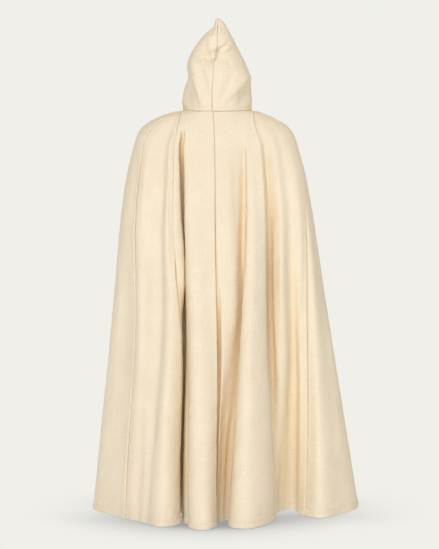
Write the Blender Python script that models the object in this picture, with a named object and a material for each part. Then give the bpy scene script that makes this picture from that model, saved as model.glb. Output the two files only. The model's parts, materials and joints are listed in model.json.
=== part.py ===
"""Hooded full-length cloak, worn: cut and sewn from nine pieces of thick plain cloth.

Metres, +Z up. The origin is the middle of the neck opening, level with the neck seam
at the sides. The wearer faces -Y and the wearer's left is +X. Every panel is a wall of
even thickness whose outer face comes from one surface: a table of body sections gives
the smooth form, and a table of fold lines says where each fold's crest, valley or seam
runs from the neck to the hem.
"""

from collections import namedtuple

import bmesh
import bpy
import numpy as np
from mathutils import Matrix, Vector

MM = 0.001
LENGTH = 1450  # mm along the cloth at the centre back, from neck seam to hem
WALL = 2.0 * MM  # thickness of the cloth
SEAM_GAP = 0.3 * MM  # between two pieces where they are sewn together
NECK_GAP = 0.35 * MM  # between the hood's lower edge and the neck edge
COLUMN_WIDTH = 38 * MM  # widest facet, measured along the hem
SWING = 60 * MM  # distance below the neck over which a line settles to its shoulder angle

CLOTH_COLOUR = (0.83, 0.74, 0.58, 1.0)
CLOTH_ROUGHNESS = 0.95
BUTTON_COLOUR = (0.42, 0.30, 0.19, 1.0)
BUTTON_ROUGHNESS = 0.4

# Sections of the smooth body, in mm. "along" is the distance along the cloth from the
# neck seam; back, left, right and front are distances from the centre line, and each
# drop is how far below the origin the section lies there.
Section = namedtuple("Section", "along back back_drop left right side_drop front front_drop")
SECTIONS = (
    Section(0, 98, 7, 120, 121, 0, 84, 72),
    Section(30, 106, 29, 150, 146, 4, 96, 99),
    Section(68, 118, 65, 187, 176, 14, 111, 134),
    Section(112, 132, 107, 230, 213, 32, 127, 175),
    Section(165, 147, 158, 271, 257, 62, 142, 226),
    Section(205, 156, 197, 289, 276, 95, 151, 265),
    Section(265, 167, 256, 305, 293, 152, 160, 324),
    Section(330, 176, 320, 320, 311, 216, 169, 388),
    Section(430, 188, 419, 337, 331, 316, 181, 487),
    Section(800, 222, 787, 372, 388, 695, 217, 835),
    Section(LENGTH, 284, 1414, 441, 500, 1414, 280, 1414),
)

# How square the sections are across the shoulders: a power of the sine, 1 for an oval.
Squareness = namedtuple("Squareness", "along power")
SQUARENESS = (
    Squareness(0, 1.0),
    Squareness(165, 0.86),
    Squareness(430, 0.86),
    Squareness(LENGTH, 1.0),
)

# Fold lines in order round the body, from the left front edge over the back to the right
# front edge. neck and shoulder are angles from the centre back, + towards the wearer's
# left; start is where the fold begins, in mm along the cloth, and growth is the power with
# which it deepens; hem_x and hem_y are where the line meets the hem, in mm.
Line = namedtuple("Line", "name neck shoulder start growth hem_x hem_y")
LINES = (
    Line("left front edge", 178, 178.5, 300, 1.0, 28, -300),
    Line("left edge roll", 171, 171, 250, 1.0, 62, -330),
    Line("left front valley", 162, 160, 230, 1.0, 104, -258),
    Line("left front lobe", 150, 148, 200, 1.0, 168, -322),
    Line("left chest valley", 138, 134, 200, 1.0, 236, -206),
    Line("left arm lobe", 127, 121, 220, 1.0, 322, -240),
    Line("left arm valley", 114, 107, 250, 1.0, 366, -122),
    Line("left side", 98, 90, 300, 1.0, 441, 0),
    Line("left side seam", 90, 60, 200, 1.2, 320, 200),
    Line("left panel crest", 88, 49, 200, 1.0, 284, 250),
    Line("left panel valley", 85, 33.5, 150, 1.0, 236, 302),
    Line("left ridge", 82, 30.7, 100, 1.0, 186, 350),
    Line("left lobe edge", 81, 29.7, 130, 1.0, 142, 328),
    Line("left raglan seam", 80, 28.7, 100, 1.0, 128, 298),
    Line("left lip", 77, 24, 110, 1.0, 137, 218),
    Line("deep valley left", 74.5, 22.8, 105, 0.55, 146, 124),
    Line("deep valley right", 71.5, 21.2, 105, 0.55, 136, 120),
    Line("deep flank", 67, 19.5, 120, 1.0, 119, 212),
    Line("left back edge", 62, 17.8, 130, 1.0, 102, 322),
    Line("left back crest", 53, 14.2, 150, 1.0, 76, 388),
    Line("back crest", 30, 9.5, 200, 1.0, 48, 401),
    Line("centre seam", 8, 0.8, 200, 1.0, 4, 330),
    Line("right recess", -20, -6, 200, 1.0, -15, 255),
    Line("back valley left", -44, -11.5, 100, 0.9, -36, 244),
    Line("back valley right", -51, -14, 120, 0.9, -52, 250),
    Line("back lip", -57, -16.8, 120, 1.0, -37, 310),
    Line("right crest", -65, -21, 150, 1.0, -84, 381),
    Line("right crest end", -72, -25, 150, 1.0, -140, 346),
    Line("right raglan seam", -80, -31, 150, 1.0, -193, 238),
    Line("right valley", -82, -34, 120, 0.9, -203, 130),
    Line("right panel ridge", -85, -41.5, 200, 1.2, -228, 66),
    Line("right panel valley", -87, -47.5, 200, 1.2, -260, 68),
    Line("right panel crest", -89, -58, 250, 1.3, -283, 112),
    Line("right side seam", -91, -71, 250, 1.6, -302, 146),
    Line("right side crest", -93, -75, 250, 1.5, -346, 198),
    Line("right side flank", -95, -81, 250, 1.2, -430, 127),
    Line("right side", -98, -90, 300, 1.0, -500, 5),
    Line("right arm lobe", -108, -102, 250, 1.0, -455, -170),
    Line("right arm valley", -118, -115, 250, 1.0, -348, -182),
    Line("right chest lobe", -130, -128, 220, 1.0, -270, -300),
    Line("right chest valley", -143, -142, 200, 1.0, -196, -228),
    Line("right front lobe", -155, -155, 200, 1.0, -122, -332),
    Line("right edge valley", -167, -168, 250, 1.0, -70, -270),
    Line("right front edge", -178, -178.5, 300, 1.0, -28, -302),
)

# Few folds hang straight: a row moves its line aside by x and out by y mm, most at `at` mm
# along the cloth and hardly at all beyond twice `reach` from there.
Sway = namedtuple("Sway", "line at reach x y")
SWAYS = (
    Sway("left side seam", 880, 330, -16, 0),
    Sway("left side seam", 380, 260, 0, 12),
    Sway("left panel crest", 400, 300, -4, 8),
    Sway("left panel valley", 800, 360, -20, -4),
    Sway("left panel valley", 300, 200, 0, -7),
    Sway("left ridge", 730, 340, -22, 8),
    Sway("left lobe edge", 760, 330, -24, 10),
    Sway("left raglan seam", 860, 320, -24, 8),
    Sway("left raglan seam", 520, 260, 0, 14),
    Sway("left lip", 600, 280, -29, 34),
    Sway("deep valley left", 600, 330, -8, 0),
    Sway("deep valley right", 700, 360, -16, 0),
    Sway("deep valley right", 480, 170, -6, 0),
    Sway("deep flank", 820, 340, -15, 8),
    Sway("deep flank", 480, 170, -9, 0),
    Sway("left back edge", 800, 350, -10, 4),
    Sway("left back crest", 800, 350, -10, 4),
    Sway("centre seam", 880, 330, -8, 6),
    Sway("right recess", 700, 330, -38, 0),
    Sway("back valley left", 680, 340, -26, -12),
    Sway("back valley left", 300, 220, -6, -8),
    Sway("back valley right", 700, 340, -25, -12),
    Sway("back valley right", 300, 220, -4, -8),
    Sway("back lip", 740, 330, -9, 6),
    Sway("back lip", 300, 220, -7, 0),
    Sway("right crest", 700, 350, -4, 6),
    Sway("right raglan seam", 750, 380, 15, 12),
    Sway("right valley", 650, 350, 3, -8),
    Sway("right panel ridge", 720, 360, 2, 50),
    Sway("right panel valley", 850, 350, -16, -4),
    Sway("right panel valley", 400, 250, -6, 8),
    Sway("right panel crest", 520, 300, -8, 16),
    Sway("right side seam", 850, 330, 6, 8),
    Sway("right side seam", 540, 260, 0, 14),
    Sway("right side crest", 560, 280, 4, 18),
    Sway("right side flank", 600, 330, 0, 10),
)

# The body's panels, each from one line to another.
Panel = namedtuple("Panel", "name first last")
PANELS = (
    Panel("front_left", "left front edge", "left side seam"),
    Panel("side_left", "left side seam", "left raglan seam"),
    Panel("back_left", "left raglan seam", "centre seam"),
    Panel("back_right", "centre seam", "right raglan seam"),
    Panel("side_right", "right raglan seam", "right side seam"),
    Panel("front_right", "right side seam", "right front edge"),
)

# Rows of facets down the body, in mm along the cloth.
ROWS = (0, 14, 30, 50, 75, 100, 130, 165, 205, 250, 300, 360, 430, 520, 620, 730, 850, 970, 1090, 1210,
        1330, LENGTH)

# Rings of the hood, in mm, from the neck seam to the tip: where each crosses the centre
# back, the sides and the centre front, its half widths, the angle where the face edge
# ends it (180 where the halves meet) and the angle of the seam at the back.
Ring = namedtuple("Ring", "name back_y back_z side_y side_z front_y front_z left right end seam")
RINGS = (
    Ring("neck", 98, -7, 0, 0, -84, -72, 120, 121, 178, 9),
    Ring("nape", 103, 30, 2, 32, -94, -34, 127, 123, 158, 9),
    Ring("chin", 107, 72, 4, 74, -114, 38, 121, 120, 141, 9),
    Ring("cheek", 107, 118, 2, 122, -134, 108, 104, 116, 133, 8.5),
    Ring("temple", 99, 152, -2, 154, -138, 160, 109, 106, 137, 8),
    Ring("brow", 88, 178, -8, 182, -130, 200, 105, 95, 151, 5),
    Ring("face top", 85, 198, -10, 206, -114, 227, 95, 82, 180, 3),
    Ring("crown", 94, 221, 2, 230, -84, 252, 80, 69, 180, 0),
    Ring("upper crown", 91, 252, 20, 258, -46, 279, 55, 54, 180, 0),
    Ring("peak", 80, 284, 34, 289, -6, 305, 24, 35, 180, 0),
    Ring("upper peak", 71, 303, 45, 306, 24, 314, 12, 25, 180, 0),
    Ring("tip", 65, 315, 52, 316.5, 40, 320, 6, 13, 180, 0),
    Ring("tip end", 58, 321.5, 53.5, 322.5, 49, 322.5, 1, 2.5, 180, 0),
)

# Soft hollows in the back of the hood, in mm: their middles as seen from behind, how far
# they fade sideways and up and down, and how deep they are.
Hollow = namedtuple("Hollow", "name x z wide tall depth")
HOLLOWS = (
    Hollow("left of the nape", 96, 52, 26, 40, 12),
    Hollow("right of the nape", -92, 44, 30, 32, 12),
    Hollow("under the leaning tip", 30, 184, 30, 17, 9),
)
HOOD_STEPS = (1, 2, 2, 2, 1, 1, 1, 1, 2, 2, 1, 1)  # rows of facets between the rings
HOOD_COLUMNS = 18

# The strap that buttons the fronts together at the throat, and its button, in mm.
STRAP_ALONG = (16, 40)
STRAP_HALF_ANGLE = 22
STRAP_COLUMNS = 12
STRAP_ROWS = 3
STRAP_LIFT = 0.6  # clear of the fronts
BUTTON_ANGLE = 168
BUTTON_RADIUS = 9
BUTTON_THICKNESS = 3.5
BUTTON_RIM = 1.0
BUTTON_GAP = 0.3
BUTTON_SIDES = 24


def smooth_rows(rows, at):
    """Cubic curves through the columns of a table, without overshoot, read at `at`."""
    table = np.array(rows, float)
    x, y = table[:, 0], table[:, 1:]
    step = np.diff(x)[:, None]
    slope = np.diff(y, axis=0) / step
    turning = slope[:-1] * slope[1:] <= 0
    steepness = np.maximum(np.abs(slope), 1e-9)
    before = 2 * step[1:] + step[:-1]
    after = step[1:] + 2 * step[:-1]
    mean = (before + after) / (before / steepness[:-1] + after / steepness[1:]) * np.sign(slope[1:])
    tangent = np.vstack([slope[:1], np.where(turning, 0.0, mean), slope[-1:]])
    i = np.clip(np.searchsorted(x, at) - 1, 0, len(x) - 2)
    h = step[i]
    t = (np.asarray(at, float) - x[i])[:, None] / h
    return (
        (1 + 2 * t) * (1 - t) ** 2 * y[i]
        + t * (1 - t) ** 2 * h * tangent[i]
        + t * t * (3 - 2 * t) * y[i + 1]
        + t * t * (t - 1) * h * tangent[i + 1]
    )


def body_form(angle, along):
    """Smooth body at angles (rows, n) in degrees and distances along (rows,) in mm: a
    section's x is its half width times sin(angle), y its depth times cos(angle), and its
    drop changes from the side's to the front's or back's with cos(angle) squared."""
    columns = smooth_rows(SECTIONS, along).T[:, :, None] * MM
    back, back_drop, left, right, side_drop, front, front_drop = columns
    power = np.interp(along, *np.array(SQUARENESS).T)[:, None]
    sine = np.sin(np.radians(angle))
    cosine = np.cos(np.radians(angle))
    x = np.where(sine > 0, left, right) * np.sign(sine) * np.abs(sine) ** power
    y = np.where(cosine > 0, back, front) * np.sign(cosine) * np.abs(cosine) ** power
    end_drop = np.where(cosine > 0, back_drop, front_drop)
    z = -(side_drop + (end_drop - side_drop) * cosine**2)
    return np.stack([x, y, z], axis=-1)


def fold_lines(along):
    """Points of every fold line at distances along (rows,) in mm: (rows, lines, 3). A line
    leaves the smooth body at its start and reaches its own place at the hem."""
    neck, shoulder, start, growth, hem_x, hem_y = np.array([line[1:] for line in LINES], float).T
    settle = np.exp(-along[:, None] * MM / SWING)
    points = body_form(shoulder + (neck - shoulder) * settle, along)
    at_hem = body_form(shoulder[None, :], np.array([float(LENGTH)]))[0, :, :2]
    shift = np.stack([hem_x, hem_y], axis=-1) * MM - at_hem
    share = np.clip((along[:, None] - start) / (LENGTH - start), 0, 1) ** growth
    points[..., :2] += share[..., None] * shift
    names = [line.name for line in LINES]
    for sway in SWAYS:
        near = np.exp(-(((along - sway.at) / sway.reach) ** 2)) * (1 - settle[:, 0])
        points[:, names.index(sway.line), :2] += near[:, None] * (sway.x * MM, sway.y * MM)
    return points


def curve_through(points, interval, part):
    """Natural cubic spline through points (rows, k, 3), read at `part` (0 to 1) of each
    `interval`; its parameter is the distance between points."""
    gaps = np.linalg.norm(np.diff(points, axis=1), axis=2)
    count = points.shape[1]
    matrix = np.zeros((len(points), count, count))
    right_side = np.zeros_like(points)
    i = np.arange(1, count - 1)
    matrix[:, i, i - 1] = gaps[:, :-1]
    matrix[:, i, i] = 2 * (gaps[:, :-1] + gaps[:, 1:])
    matrix[:, i, i + 1] = gaps[:, 1:]
    matrix[:, 0, 0] = 1
    matrix[:, -1, -1] = 1
    right_side[:, 1:-1] = 6 * np.diff(np.diff(points, axis=1) / gaps[..., None], axis=1)
    bend = np.linalg.solve(matrix, right_side)
    b = np.asarray(part)[None, :, None]
    a = 1 - b
    gap = gaps[:, interval, None]
    return (
        a * points[:, interval]
        + b * points[:, interval + 1]
        + ((a**3 - a) * bend[:, interval] + (b**3 - b) * bend[:, interval + 1]) * gap * gap / 6
    )


def unit(vectors):
    return vectors / np.linalg.norm(vectors, axis=-1, keepdims=True)


def outward(grid):
    """Unit normals of a grid (rows, columns, 3) whose rows go down the cloth and columns
    towards the wearer's right. Each stands halfway between the facets either side of it."""
    steps = unit(np.diff(grid, axis=1))
    across = np.concatenate([steps[:, :1], steps[:, 1:] + steps[:, :-1], steps[:, -1:]], axis=1)
    down = np.gradient(grid, axis=0)
    return unit(np.cross(down, across))


def wall(outer, inner):
    """A closed wall between two grids, as points and triangles. Both faces split their
    squares along the outer one's shorter diagonal, so they stay parallel, and the edges of
    two panels that meet at a seam are split the same way, so they stay apart."""
    rows, columns = outer.shape[:2]
    points = np.concatenate([outer.reshape(-1, 3), inner.reshape(-1, 3)])
    number = np.arange(rows * columns).reshape(rows, columns)
    a, b, c, d = number[:-1, :-1], number[1:, :-1], number[1:, 1:], number[:-1, 1:]
    falling = np.linalg.norm(outer[:-1, :-1] - outer[1:, 1:], axis=2)
    rising = np.linalg.norm(outer[1:, :-1] - outer[:-1, 1:], axis=2)
    first = np.where((falling <= rising)[..., None], np.stack([a, b, c], -1), np.stack([a, b, d], -1))
    second = np.where((falling <= rising)[..., None], np.stack([a, c, d], -1), np.stack([b, c, d], -1))
    skin = np.concatenate([first.reshape(-1, 3), second.reshape(-1, 3)])
    rim = np.concatenate([number[:, 0], number[-1, 1:], number[-2::-1, -1], number[0, -2:0:-1]])
    ahead = np.roll(rim, -1)
    far, far_ahead = rim + rows * columns, ahead + rows * columns
    on_last = np.zeros((len(rim), 1), bool)
    on_last[rows + columns - 2 : 2 * rows + columns - 3] = True
    edge = np.concatenate(
        [
            np.where(on_last, np.stack([rim, far, far_ahead], -1), np.stack([rim, far, ahead], -1)),
            np.where(on_last, np.stack([rim, far_ahead, ahead], -1), np.stack([ahead, far, far_ahead], -1)),
        ]
    )
    return points, np.concatenate([skin, skin[:, ::-1] + rows * columns, edge])


def new_object(name, points, faces, material):
    mesh = bpy.data.meshes.new(name)
    mesh.from_pydata(points.tolist(), [], faces.tolist())
    mesh.materials.append(material)
    mesh.shade_smooth()
    mesh.update()
    piece = bpy.data.objects.new(name, mesh)
    bpy.context.scene.collection.objects.link(piece)
    return piece


def new_material(name, colour, roughness):
    material = bpy.data.materials.new(name)
    material.use_nodes = True
    shader = material.node_tree.nodes["Principled BSDF"]
    shader.inputs["Base Color"].default_value = colour
    shader.inputs["Roughness"].default_value = roughness
    return material


def part_at_seams(grid):
    """Move a panel's two side edges in by half the seam gap, along its own surface."""
    parted = grid.copy()
    parted[:, 0] += unit(grid[:, 1] - grid[:, 0]) * SEAM_GAP / 2
    parted[:, -1] += unit(grid[:, -2] - grid[:, -1]) * SEAM_GAP / 2
    return parted


def body_columns():
    """Where the columns of facets stand: the interval between two fold lines that each is
    in, and how far along it. Each fold line has a column of its own."""
    hem = np.array([(line.hem_x, line.hem_y) for line in LINES]) * MM
    steps = np.ceil(np.linalg.norm(np.diff(hem, axis=0), axis=1) / COLUMN_WIDTH).astype(int)
    interval = np.repeat(np.arange(len(steps)), steps)
    part = np.concatenate([np.arange(n) / n for n in steps])
    first_of_line = np.concatenate([[0], np.cumsum(steps)])
    return np.append(interval, len(steps) - 1), np.append(part, 1.0), first_of_line


def make_body(cloth):
    along = np.array(ROWS, float)
    interval, part, first_of_line = body_columns()
    grid = curve_through(fold_lines(along), interval, part)
    normals = outward(grid)
    names = [line.name for line in LINES]
    for panel in PANELS:
        first, last = (first_of_line[names.index(name)] for name in (panel.first, panel.last))
        outer = part_at_seams(grid[:, first : last + 1])
        inner = outer - normals[:, first : last + 1] * WALL
        new_object(panel.name, *wall(outer, inner), cloth)


def hood_form(angle, row):
    """Hood at angles (rows, n) in degrees and places along the table of rings (rows,): like
    a body section, with its sides and its front at heights of their own. The hollows push
    the back of it towards the face, so they leave its outline as it is."""
    table = [(i, *ring[1:]) for i, ring in enumerate(RINGS)]
    columns = smooth_rows(table, row).T[:8, :, None] * MM
    back_y, back_z, side_y, side_z, front_y, front_z, left, right = columns
    sine = np.sin(np.radians(angle))
    cosine = np.cos(np.radians(angle))
    x = np.where(sine > 0, left, right) * sine
    y = side_y + np.where(cosine > 0, back_y - side_y, side_y - front_y) * cosine
    z = side_z + (np.where(cosine > 0, back_z, front_z) - side_z) * cosine**2
    for hollow in HOLLOWS:
        aside = (x - hollow.x * MM) / (hollow.wide * MM)
        above = (z - hollow.z * MM) / (hollow.tall * MM)
        y = y - hollow.depth * MM * np.exp(-(aside**2) - above**2) * np.clip(cosine, 0, 1) ** 0.5
    return np.stack([x, y, z + NECK_GAP], axis=-1)


def make_hood(cloth):
    """Each half runs from the seam at the back to the face edge or to the seam on top."""
    row = np.append(np.concatenate([i + np.arange(n) / n for i, n in enumerate(HOOD_STEPS)]), len(HOOD_STEPS))
    table = [(i, ring.end, ring.seam) for i, ring in enumerate(RINGS)]
    end, seam = smooth_rows(table, row).T[:, :, None]
    share = np.linspace(0, 1, HOOD_COLUMNS + 1)
    turn = 0.5  # degrees either way, to measure slope
    climb = 0.01  # of a ring's step either way
    for name, side in (("hood_left", 1), ("hood_right", -1)):
        angle = seam + (side * end - seam) * share
        across = hood_form(angle + turn, row) - hood_form(angle - turn, row)
        up = hood_form(angle, np.minimum(row + climb, row[-1])) - hood_form(angle, np.maximum(row - climb, 0))
        normals = unit(np.cross(up, across))
        normals[-1] = (0, 0, 1)  # the tip closes level
        grid = hood_form(angle, row)
        outer = part_at_seams(grid)
        inner = outer - normals * WALL
        # Near the tip the walls lean over the centre line, so each half keeps to its own side.
        own_side = np.maximum(inner[..., 0] * side, SEAM_GAP / 2) * side
        inner[..., 0] = np.where(seam == 0, own_side, inner[..., 0])
        # The wall reads its rows downwards and its columns towards the wearer's right.
        new_object(name, *wall(outer[::-1, ::-side], inner[::-1, ::-side]), cloth)


def make_strap(cloth):
    """A short strap across the throat, made from the fronts' own surface, moved out."""
    along = np.linspace(*STRAP_ALONG, STRAP_ROWS + 1)
    angle = np.linspace(180 + STRAP_HALF_ANGLE, 180 - STRAP_HALF_ANGLE, STRAP_COLUMNS + 1)
    grid = body_form(np.broadcast_to(angle, (len(along), len(angle))), along)
    normals = outward(grid)
    lift = STRAP_LIFT * MM
    new_object("neck_strap", *wall(grid + normals * (lift + WALL), grid + normals * lift), cloth)


def make_button(wood):
    """A turned disc with a rounded rim, flat on the strap near its left end."""
    along = np.array([np.mean(STRAP_ALONG) - 1, np.mean(STRAP_ALONG), np.mean(STRAP_ALONG) + 1])
    angle = np.broadcast_to([BUTTON_ANGLE + 1, BUTTON_ANGLE, BUTTON_ANGLE - 1], (3, 3))
    grid = body_form(angle, along)
    normal = outward(grid)[1, 1]
    back = grid[1, 1] + normal * (STRAP_LIFT * MM + WALL + BUTTON_GAP * MM)
    profile = (
        (BUTTON_RADIUS - BUTTON_RIM, 0),
        (BUTTON_RADIUS, BUTTON_RIM),
        (BUTTON_RADIUS, BUTTON_THICKNESS - BUTTON_RIM),
        (BUTTON_RADIUS - BUTTON_RIM, BUTTON_THICKNESS),
    )
    mesh = bmesh.new()
    rings = [
        bmesh.ops.create_circle(
            mesh, segments=BUTTON_SIDES, radius=radius * MM, matrix=Matrix.Translation((0, 0, height * MM))
        )["verts"]
        for radius, height in profile
    ]
    for low, high in zip(rings, rings[1:]):
        for i in range(BUTTON_SIDES):
            following = (i + 1) % BUTTON_SIDES
            mesh.faces.new((low[i], low[following], high[following], high[i]))
    mesh.faces.new(reversed(rings[0]))
    mesh.faces.new(rings[-1])
    bmesh.ops.recalc_face_normals(mesh, faces=mesh.faces)
    data = bpy.data.meshes.new("neck_button")
    mesh.to_mesh(data)
    mesh.free()
    data.materials.append(wood)
    button = bpy.data.objects.new("neck_button", data)
    button.location = back
    button.rotation_euler = Vector(normal).to_track_quat("Z", "Y").to_euler()
    bpy.context.scene.collection.objects.link(button)


def remove_everything():
    for old in list(bpy.data.objects):
        bpy.data.objects.remove(old, do_unlink=True)


remove_everything()
cloth_material = new_material("natural_cloth", CLOTH_COLOUR, CLOTH_ROUGHNESS)
button_material = new_material("button_wood", BUTTON_COLOUR, BUTTON_ROUGHNESS)
make_body(cloth_material)
make_hood(cloth_material)
make_strap(cloth_material)
make_button(button_material)
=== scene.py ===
# %% [markdown]
# # A hooded cloak, seen from behind
#
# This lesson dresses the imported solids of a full-length cloak in thick cream cloth. The solids
# already hold the true folds, so each panel is worked out again from the same two tables, only
# finer, and then gets what a solid leaves out: creases, pressed seams, a turned and puckered hem,
# stitches and the cloth itself.

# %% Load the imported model
import json
from collections import namedtuple

import bpy
import numpy as np
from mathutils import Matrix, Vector

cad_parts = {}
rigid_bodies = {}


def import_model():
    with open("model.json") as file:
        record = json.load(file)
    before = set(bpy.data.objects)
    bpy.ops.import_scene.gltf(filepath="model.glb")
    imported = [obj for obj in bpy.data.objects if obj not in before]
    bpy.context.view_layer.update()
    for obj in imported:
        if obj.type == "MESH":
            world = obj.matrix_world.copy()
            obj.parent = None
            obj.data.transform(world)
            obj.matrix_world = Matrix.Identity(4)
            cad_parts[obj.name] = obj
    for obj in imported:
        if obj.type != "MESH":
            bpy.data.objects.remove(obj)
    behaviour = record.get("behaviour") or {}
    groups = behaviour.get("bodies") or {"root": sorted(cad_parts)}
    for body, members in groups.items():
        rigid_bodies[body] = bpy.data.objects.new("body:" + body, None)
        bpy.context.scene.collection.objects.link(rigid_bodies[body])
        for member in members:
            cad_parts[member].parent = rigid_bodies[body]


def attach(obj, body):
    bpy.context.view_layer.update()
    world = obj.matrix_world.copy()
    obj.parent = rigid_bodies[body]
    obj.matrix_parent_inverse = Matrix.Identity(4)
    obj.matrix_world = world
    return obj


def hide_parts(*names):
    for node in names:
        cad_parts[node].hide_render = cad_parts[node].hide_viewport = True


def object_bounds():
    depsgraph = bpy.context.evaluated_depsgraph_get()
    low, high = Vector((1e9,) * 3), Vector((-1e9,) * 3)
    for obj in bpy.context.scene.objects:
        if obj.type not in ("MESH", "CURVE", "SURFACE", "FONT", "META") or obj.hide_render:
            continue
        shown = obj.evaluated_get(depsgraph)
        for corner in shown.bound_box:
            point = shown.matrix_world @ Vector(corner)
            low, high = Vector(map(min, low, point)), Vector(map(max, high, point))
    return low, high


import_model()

# Sizes in this lesson are in mm on the cloth, and MM turns them into metres.
MM = 0.001
cad_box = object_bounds()
print("the solids fill", [[round(float(v), 3) for v in corner] for corner in cad_box])

# %% [markdown]
# ## The sizes of the body
#
# A cloak is a cone of cloth that hangs from the shoulders, so its sections are ovals, nearly
# square across the shoulders. The table gives a section every so often down the cloth, in mm:
# how far it stands out behind, to each side and in front, and how far it has dropped there.
# The wearer faces -Y, so the photograph looks from +Y and the wearer's left is on its left.

# %% Sections of the smooth body
def table(columns, *rows):
    """A table whose columns have names: one named row for each tuple."""
    row_of = namedtuple("Row", columns)
    return tuple(row_of(*row) for row in rows)


LENGTH = 1450
SWING = 60

SECTIONS = table(
    "along back back_drop left right side_drop front front_drop",
    (0, 98, 7, 120, 121, 0, 84, 72),
    (30, 106, 29, 150, 146, 4, 96, 99),
    (68, 118, 65, 187, 176, 14, 111, 134),
    (112, 132, 107, 230, 213, 32, 127, 175),
    (165, 147, 158, 271, 257, 62, 142, 226),
    (205, 156, 197, 289, 276, 95, 151, 265),
    (265, 167, 256, 305, 293, 152, 160, 324),
    (330, 176, 320, 320, 311, 216, 169, 388),
    (430, 188, 419, 337, 331, 316, 181, 487),
    (800, 222, 787, 372, 388, 695, 217, 835),
    (LENGTH, 284, 1414, 441, 500, 1414, 280, 1414),
)
SQUARENESS = table(
    "along power",
    (0, 1.0),
    (165, 0.86),
    (430, 0.86),
    (LENGTH, 1.0),
)
print("body sections:", len(SECTIONS))

# %% [markdown]
# ## The fold lines
#
# Folds in hanging cloth run from the neck to the hem, so one row of this table is one line down
# the cloak: a crest, a valley, a lip or a seam. Between two lines the cloth is a smooth curve.
# Each line starts on the smooth body at an angle from the centre back (degrees, + towards the
# wearer's left), leaves it at `start` mm down the cloth, and deepens until it meets the hem at
# `hem_x`, `hem_y`. The deep folds have two valley lines, so that their bottoms stay round.
# Few folds hang straight, so a line may sway: each (at, reach, x, y) moves it aside by x and out
# by y mm, most at `at` mm along the cloth and hardly at all beyond twice `reach` from there.

# %% Lines of crests, valleys and seams
LINES = table(
    "name neck shoulder start growth hem_x hem_y sways",
    ("left front edge", 178, 178.5, 300, 1.0, 28, -300, ()),
    ("left edge roll", 171, 171, 250, 1.0, 62, -330, ()),
    ("left front valley", 162, 160, 230, 1.0, 104, -258, ()),
    ("left front lobe", 150, 148, 200, 1.0, 168, -322, ()),
    ("left chest valley", 138, 134, 200, 1.0, 236, -206, ()),
    ("left arm lobe", 127, 121, 220, 1.0, 322, -240, ()),
    ("left arm valley", 114, 107, 250, 1.0, 366, -122, ()),
    ("left side", 98, 90, 300, 1.0, 441, 0, ()),
    ("left side seam", 90, 60, 200, 1.2, 320, 200, ((880, 330, -16, 0), (380, 260, 0, 12))),
    ("left panel crest", 88, 49, 200, 1.0, 284, 250, ((400, 300, -4, 8),)),
    ("left panel valley", 85, 33.5, 150, 1.0, 236, 302, ((800, 360, -20, -4), (300, 200, 0, -7))),
    ("left ridge", 82, 30.7, 100, 1.0, 186, 350, ((730, 340, -22, 8),)),
    ("left lobe edge", 81, 29.7, 130, 1.0, 142, 328, ((760, 330, -24, 10),)),
    ("left raglan seam", 80, 28.7, 100, 1.0, 128, 298, ((860, 320, -24, 8), (520, 260, 0, 14))),
    ("left lip", 77, 24, 110, 1.0, 137, 218, ((600, 280, -29, 34),)),
    ("deep valley left", 74.5, 22.8, 105, 0.55, 146, 124, ((600, 330, -8, 0),)),
    ("deep valley right", 71.5, 21.2, 105, 0.55, 136, 120, ((700, 360, -16, 0), (480, 170, -6, 0))),
    ("deep flank", 67, 19.5, 120, 1.0, 119, 212, ((820, 340, -15, 8), (480, 170, -9, 0))),
    ("left back edge", 62, 17.8, 130, 1.0, 102, 322, ((800, 350, -10, 4),)),
    ("left back crest", 53, 14.2, 150, 1.0, 76, 388, ((800, 350, -10, 4),)),
    ("back crest", 30, 9.5, 200, 1.0, 48, 401, ()),
    ("centre seam", 8, 0.8, 200, 1.0, 4, 330, ((880, 330, -8, 6),)),
    ("right recess", -20, -6, 200, 1.0, -15, 255, ((700, 330, -38, 0),)),
    ("back valley left", -44, -11.5, 100, 0.9, -36, 244, ((680, 340, -26, -12), (300, 220, -6, -8))),
    ("back valley right", -51, -14, 120, 0.9, -52, 250, ((700, 340, -25, -12), (300, 220, -4, -8))),
    ("back lip", -57, -16.8, 120, 1.0, -37, 310, ((740, 330, -9, 6), (300, 220, -7, 0))),
    ("right crest", -65, -21, 150, 1.0, -84, 381, ((700, 350, -4, 6),)),
    ("right crest end", -72, -25, 150, 1.0, -140, 346, ()),
    ("right raglan seam", -80, -31, 150, 1.0, -193, 238, ((750, 380, 15, 12),)),
    ("right valley", -82, -34, 120, 0.9, -203, 130, ((650, 350, 3, -8),)),
    ("right panel ridge", -85, -41.5, 200, 1.2, -228, 66, ((720, 360, 2, 50),)),
    ("right panel valley", -87, -47.5, 200, 1.2, -260, 68, ((850, 350, -16, -4), (400, 250, -6, 8))),
    ("right panel crest", -89, -58, 250, 1.3, -283, 112, ((520, 300, -8, 16),)),
    ("right side seam", -91, -71, 250, 1.6, -302, 146, ((850, 330, 6, 8), (540, 260, 0, 14))),
    ("right side crest", -93, -75, 250, 1.5, -346, 198, ((560, 280, 4, 18),)),
    ("right side flank", -95, -81, 250, 1.2, -430, 127, ((600, 330, 0, 10),)),
    ("right side", -98, -90, 300, 1.0, -500, 5, ()),
    ("right arm lobe", -108, -102, 250, 1.0, -455, -170, ()),
    ("right arm valley", -118, -115, 250, 1.0, -348, -182, ()),
    ("right chest lobe", -130, -128, 220, 1.0, -270, -300, ()),
    ("right chest valley", -143, -142, 200, 1.0, -196, -228, ()),
    ("right front lobe", -155, -155, 200, 1.0, -122, -332, ()),
    ("right edge valley", -167, -168, 250, 1.0, -70, -270, ()),
    ("right front edge", -178, -178.5, 300, 1.0, -28, -302, ()),
)
LINE_NAMES = [line.name for line in LINES]

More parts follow.
